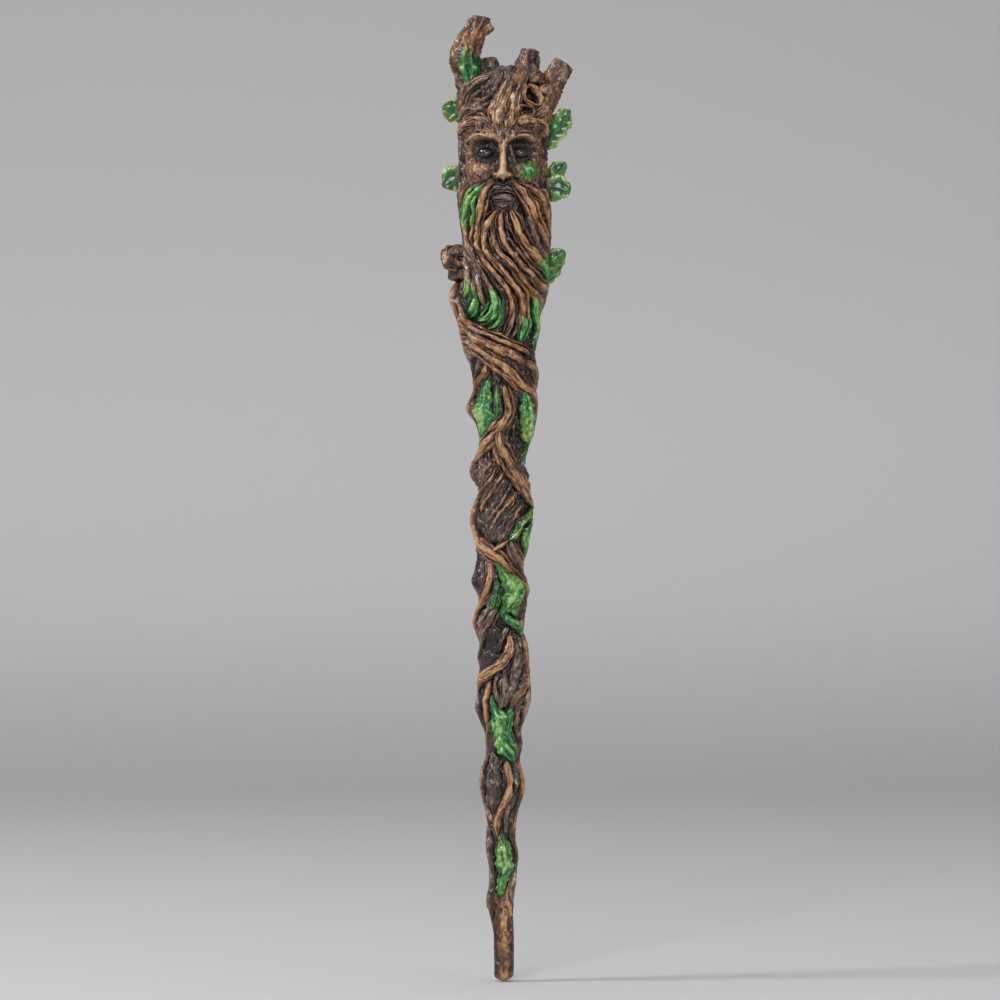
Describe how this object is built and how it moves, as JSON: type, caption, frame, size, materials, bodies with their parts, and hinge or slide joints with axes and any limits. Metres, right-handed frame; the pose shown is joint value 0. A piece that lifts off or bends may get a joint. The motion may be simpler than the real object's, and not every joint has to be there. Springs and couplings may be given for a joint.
{
  "type": "magic wand",
  "caption": "Hand-held magic wand shaped like a carved branch, with a bearded green-man head, twining vines and green leaves on a slim tapering shaft.",
  "frame": {"origin": "lowest point of the rounded tip, on the axis of the shaft", "axes": "+Z along the shaft from the tip up to the head, the face looks toward -Y, +X to the right as seen from the front"},
  "size_m": [0.0325, 0.0266, 0.24],
  "materials": {
    "bark": "dark brown painted resin, varnished",
    "vine": "tan drybrushed painted resin, varnished",
    "leaf": "green painted resin, varnished",
    "beard": "brown painted resin with dark washes, varnished",
    "face": "tan and brown painted resin, varnished",
    "eye": "near-black gloss paint",
    "rod": "plain steel wire"
  },
  "bodies": {
    "root": {"back_root_left": "vine", "back_root_middle": "vine", "back_root_right": "vine", "bark_panel_1": "bark", "bark_panel_2": "bark", "bark_panel_3": "bark", "beard_lock_1": "beard", "beard_lock_2": "beard", "beard_lock_3": "beard", "beard_lock_4": "beard", "beard_lock_5": "beard", "beard_lock_6": "beard", "branch_knob": "bark", "branch_middle": "bark", "branch_right": "bark", "branch_sawn_left": "bark", "branch_tall_left": "bark", "centre_vine": "vine", "centre_vine_fork": "vine", "collar_vine_lower": "vine", "collar_vine_upper": "vine", "core_rod": "rod", "crossing_vine_1": "vine", "crossing_vine_2": "vine", "crown": "bark", "edge_vine": "vine", "elbow_vine": "vine", "eye_left": "eye", "eye_right": "eye", "face": "face", "hair_lock_front": "beard", "head_core": "bark", "knot_ring": "bark", "leaf_beard_right": "leaf", "leaf_cheek_left": "leaf", "leaf_cheek_right": "leaf", "leaf_patch_1": "leaf", "leaf_patch_2": "leaf", "leaf_patch_3": "leaf", "leaf_patch_4": "leaf", "leaf_patch_5": "leaf", "leaf_patch_6": "leaf", "leaf_patch_7": "leaf", "leaf_temple_left": "leaf", "leaf_temple_right": "leaf", "left_root": "vine", "left_strand": "vine", "lower_lip": "face", "lower_shaft": "bark", "middle_shaft": "bark", "moustache_left": "beard", "moustache_right": "beard", "right_knob": "bark", "right_root": "vine", "rim_strand": "vine", "side_strand": "vine", "side_vine_1": "vine", "side_vine_2": "vine", "tip": "bark", "upper_shaft": "bark"}
  },
  "joints": []
}
